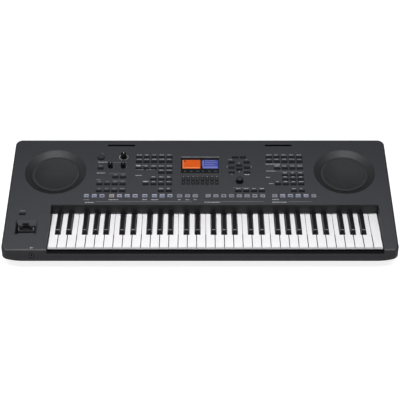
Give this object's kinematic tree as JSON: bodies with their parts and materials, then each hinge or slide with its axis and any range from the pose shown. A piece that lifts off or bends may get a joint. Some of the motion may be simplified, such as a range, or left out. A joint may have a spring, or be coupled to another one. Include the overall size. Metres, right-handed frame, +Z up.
{
  "type": "arranger keyboard",
  "caption": "Portable arranger keyboard with piano-style keys, a sloping panel of buttons, pads and knobs, a small display, a joystick and built-in speakers.",
  "frame": {"origin": "on the table, below the middle of the case", "axes": "+X to the player's right, +Y to the back, away from the player, +Z up"},
  "size_m": [1.002, 0.405, 0.1361],
  "materials": {
    "charcoal_plastic": "fine-textured moulded",
    "black_plastic": "moulded",
    "white_key_plastic": "polished moulded",
    "black_key_plastic": "satin moulded",
    "button_plastic": "satin moulded",
    "pad_plastic": "translucent moulded",
    "grille_steel": "perforated, powder coated",
    "cone_paper": "pressed paper",
    "basket_steel": "pressed",
    "magnet_ferrite": "ground",
    "window_acrylic": "polished",
    "circuit_board": "coated laminate",
    "felt": "pressed",
    "silicone": "moulded",
    "steel": "plated",
    "rubber": "moulded"
  },
  "bodies": {
    "case": {"upper_case": "charcoal_plastic", "lower_case": "black_plastic", "fallboard": "black_plastic", "key_slip": "black_plastic", "left_speaker_grille": "grille_steel", "right_speaker_grille": "grille_steel", "speaker_baskets": "basket_steel", "speaker_cones": "cone_paper", "speaker_magnets": "magnet_ferrite", "display_window": "window_acrylic", "display_module": "black_plastic", "key_frame": "black_plastic", "key_pivot_rail": "black_plastic", "key_stop_felts": "felt", "key_contact_board": "circuit_board", "key_contact_domes": "silicone", "main_board": "circuit_board", "panel_boards": "circuit_board", "panel_switches": "black_plastic", "control_pots": "steel", "joystick_housing": "black_plastic", "headphone_jack": "black_plastic", "rear_jacks": "black_plastic", "usb_sockets": "steel", "power_inlet": "black_plastic", "jack_board": "circuit_board", "rubber_feet": "rubber", "case_screws": "steel"},
    "keys_c": {"keys_c": "white_key_plastic"},
    "keys_c_sharp": {"keys_c_sharp": "black_key_plastic"},
    "keys_d": {"keys_d": "white_key_plastic"},
    "keys_d_sharp": {"keys_d_sharp": "black_key_plastic"},
    "keys_e": {"keys_e": "white_key_plastic"},
    "keys_f": {"keys_f": "white_key_plastic"},
    "keys_f_sharp": {"keys_f_sharp": "black_key_plastic"},
    "keys_g": {"keys_g": "white_key_plastic"},
    "keys_g_sharp": {"keys_g_sharp": "black_key_plastic"},
    "keys_a": {"keys_a": "white_key_plastic"},
    "keys_a_sharp": {"keys_a_sharp": "black_key_plastic"},
    "keys_b": {"keys_b": "white_key_plastic"},
    "key_top_c": {"key_top_c": "white_key_plastic"},
    "left_buttons": {"left_buttons": "button_plastic"},
    "style_buttons": {"style_buttons": "button_plastic"},
    "setting_buttons": {"setting_buttons": "button_plastic"},
    "cursor_buttons": {"cursor_buttons": "button_plastic"},
    "voice_buttons": {"voice_buttons": "button_plastic"},
    "effect_buttons": {"effect_buttons": "button_plastic"},
    "cheek_button": {"cheek_button": "button_plastic"},
    "style_pads": {"style_pads": "pad_plastic"},
    "memory_pads": {"memory_pads": "pad_plastic"},
    "part_pads": {"part_pads": "pad_plastic"},
    "display_buttons_upper": {"display_buttons_upper": "button_plastic"},
    "display_buttons_lower": {"display_buttons_lower": "button_plastic"},
    "power_button": {"power_button": "black_plastic"},
    "volume_knob": {"volume_knob": "black_plastic"},
    "left_control_knob": {"left_control_knob": "black_plastic"},
    "right_control_knob": {"right_control_knob": "black_plastic"},
    "data_dial": {"data_dial": "black_plastic"},
    "joystick_drum": {"joystick_drum": "black_plastic"},
    "joystick_lever": {"joystick_lever": "black_plastic"}
  },
  "joints": [
    {"name": "joystick_rock", "type": "hinge", "parent": "case", "child": "joystick_drum", "pos_m": [-0.4434, -0.114, 0.06374], "axis": [1, 0, 0], "range_deg": [-20, 20], "stiffness_Nm_per_rad": 0.1},
    {"name": "joystick_bend", "type": "hinge", "parent": "joystick_drum", "child": "joystick_lever", "pos_m": [-0.4434, -0.114, 0.06374], "axis": [0, 0.982, 0.1891], "range_deg": [-25, 25], "stiffness_Nm_per_rad": 0.05},
    {"name": "volume_knob_turn", "type": "hinge", "parent": "case", "child": "volume_knob", "pos_m": [-0.205, 0.13353, 0.12159], "axis": [0, -0.1891, 0.982], "range_deg": [-150, 150]},
    {"name": "left_control_knob_turn", "type": "hinge", "parent": "case", "child": "left_control_knob", "pos_m": [-0.239, 0.0972, 0.11459], "axis": [0, -0.1891, 0.982], "range_deg": [-150, 150]},
    {"name": "right_control_knob_turn", "type": "hinge", "parent": "case", "child": "right_control_knob", "pos_m": [-0.205, 0.0972, 0.11459], "axis": [0, -0.1891, 0.982], "range_deg": [-150, 150]},
    {"name": "data_dial_turn", "type": "hinge", "parent": "case", "child": "data_dial", "pos_m": [0.1046, 0.04515, 0.10457], "axis": [0, -0.1891, 0.982], "continuous": true},
    {"name": "keys_c_hinge", "type": "hinge", "parent": "case", "child": "keys_c", "pos_m": [0, 0.0375, 0.045], "axis": [1, 0, 0], "range_deg": [0, 2.66], "stiffness_Nm_per_rad": 2, "springref_deg": -17.19},
    {"name": "keys_c_sharp_hinge", "type": "hinge", "parent": "case", "child": "keys_c_sharp", "pos_m": [0, 0.0375, 0.045], "axis": [1, 0, 0], "range_deg": [0, 2.66], "stiffness_Nm_per_rad": 2, "springref_deg": -17.19},
    {"name": "keys_d_hinge", "type": "hinge", "parent": "case", "child": "keys_d", "pos_m": [0, 0.0375, 0.045], "axis": [1, 0, 0], "range_deg": [0, 2.66], "stiffness_Nm_per_rad": 2, "springref_deg": -17.19},
    {"name": "keys_d_sharp_hinge", "type": "hinge", "parent": "case", "child": "keys_d_sharp", "pos_m": [0, 0.0375, 0.045], "axis": [1, 0, 0], "range_deg": [0, 2.66], "stiffness_Nm_per_rad": 2, "springref_deg": -17.19},
    {"name": "keys_e_hinge", "type": "hinge", "parent": "case", "child": "keys_e", "pos_m": [0, 0.0375, 0.045], "axis": [1, 0, 0], "range_deg": [0, 2.66], "stiffness_Nm_per_rad": 2, "springref_deg": -17.19},
    {"name": "keys_f_hinge", "type": "hinge", "parent": "case", "child": "keys_f", "pos_m": [0, 0.0375, 0.045], "axis": [1, 0, 0], "range_deg": [0, 2.66], "stiffness_Nm_per_rad": 2, "springref_deg": -17.19},
    {"name": "keys_f_sharp_hinge", "type": "hinge", "parent": "case", "child": "keys_f_sharp", "pos_m": [0, 0.0375, 0.045], "axis": [1, 0, 0], "range_deg": [0, 2.66], "stiffness_Nm_per_rad": 2, "springref_deg": -17.19},
    {"name": "keys_g_hinge", "type": "hinge", "parent": "case", "child": "keys_g", "pos_m": [0, 0.0375, 0.045], "axis": [1, 0, 0], "range_deg": [0, 2.66], "stiffness_Nm_per_rad": 2, "springref_deg": -17.19},
    {"name": "keys_g_sharp_hinge", "type": "hinge", "parent": "case", "child": "keys_g_sharp", "pos_m": [0, 0.0375, 0.045], "axis": [1, 0, 0], "range_deg": [0, 2.66], "stiffness_Nm_per_rad": 2, "springref_deg": -17.19},
    {"name": "keys_a_hinge", "type": "hinge", "parent": "case", "child": "keys_a", "pos_m": [0, 0.0375, 0.045], "axis": [1, 0, 0], "range_deg": [0, 2.66], "stiffness_Nm_per_rad": 2, "springref_deg": -17.19},
    {"name": "keys_a_sharp_hinge", "type": "hinge", "parent": "case", "child": "keys_a_sharp", "pos_m": [0, 0.0375, 0.045], "axis": [1, 0, 0], "range_deg": [0, 2.66], "stiffness_Nm_per_rad": 2, "springref_deg": -17.19},
    {"name": "keys_b_hinge", "type": "hinge", "parent": "case", "child": "keys_b", "pos_m": [0, 0.0375, 0.045], "axis": [1, 0, 0], "range_deg": [0, 2.66], "stiffness_Nm_per_rad": 2, "springref_deg": -17.19},
    {"name": "key_top_c_hinge", "type": "hinge", "parent": "case", "child": "key_top_c", "pos_m": [0, 0.0375, 0.045], "axis": [1, 0, 0], "range_deg": [0, 2.66], "stiffness_Nm_per_rad": 0.4, "springref_deg": -17.19},
    {"name": "left_buttons_press", "type": "slide", "parent": "case", "child": "left_buttons", "axis": [0, 0.1891, -0.982], "range_m": [0, 0.0012], "stiffness_N_per_m": 900, "springref_m": -0.002},
    {"name": "style_buttons_press", "type": "slide", "parent": "case", "child": "style_buttons", "axis": [0, 0.1891, -0.982], "range_m": [0, 0.0012], "stiffness_N_per_m": 1260, "springref_m": -0.002},
    {"name": "setting_buttons_press", "type": "slide", "parent": "case", "child": "setting_buttons", "axis": [0, 0.1891, -0.982], "range_m": [0, 0.0012], "stiffness_N_per_m": 780, "springref_m": -0.002},
    {"name": "cursor_buttons_press", "type": "slide", "parent": "case", "child": "cursor_buttons", "axis": [0, 0.1891, -0.982], "range_m": [0, 0.0012], "stiffness_N_per_m": 1080, "springref_m": -0.002},
    {"name": "voice_buttons_press", "type": "slide", "parent": "case", "child": "voice_buttons", "axis": [0, 0.1891, -0.982], "range_m": [0, 0.0012], "stiffness_N_per_m": 1080, "springref_m": -0.002},
    {"name": "effect_buttons_press", "type": "slide", "parent": "case", "child": "effect_buttons", "axis": [0, 0.1891, -0.982], "range_m": [0, 0.0012], "stiffness_N_per_m": 960, "springref_m": -0.002},
    {"name": "cheek_button_press", "type": "slide", "parent": "case", "child": "cheek_button", "axis": [0, 0.1891, -0.982], "range_m": [0, 0.0012], "stiffness_N_per_m": 300, "springref_m": -0.002},
    {"name": "style_pads_press", "type": "slide", "parent": "case", "child": "style_pads", "axis": [0, 0.1891, -0.982], "range_m": [0, 0.0012], "stiffness_N_per_m": 1080, "springref_m": -0.002},
    {"name": "memory_pads_press", "type": "slide", "parent": "case", "child": "memory_pads", "axis": [0, 0.1891, -0.982], "range_m": [0, 0.0012], "stiffness_N_per_m": 720, "springref_m": -0.002},
    {"name": "part_pads_press", "type": "slide", "parent": "case", "child": "part_pads", "axis": [0, 0.1891, -0.982], "range_m": [0, 0.0012], "stiffness_N_per_m": 600, "springref_m": -0.002},
    {"name": "display_buttons_upper_press", "type": "slide", "parent": "case", "child": "display_buttons_upper", "axis": [0, 0.1891, -0.982], "range_m": [0, 0.0012], "stiffness_N_per_m": 720, "springref_m": -0.002},
    {"name": "display_buttons_lower_press", "type": "slide", "parent": "case", "child": "display_buttons_lower", "axis": [0, 0.1891, -0.982], "range_m": [0, 0.0012], "stiffness_N_per_m": 720, "springref_m": -0.002},
    {"name": "power_button_press", "type": "slide", "parent": "case", "child": "power_button", "axis": [0, 0.1891, -0.982], "range_m": [0, 0.0012], "stiffness_N_per_m": 300, "springref_m": -0.002}
  ]
}
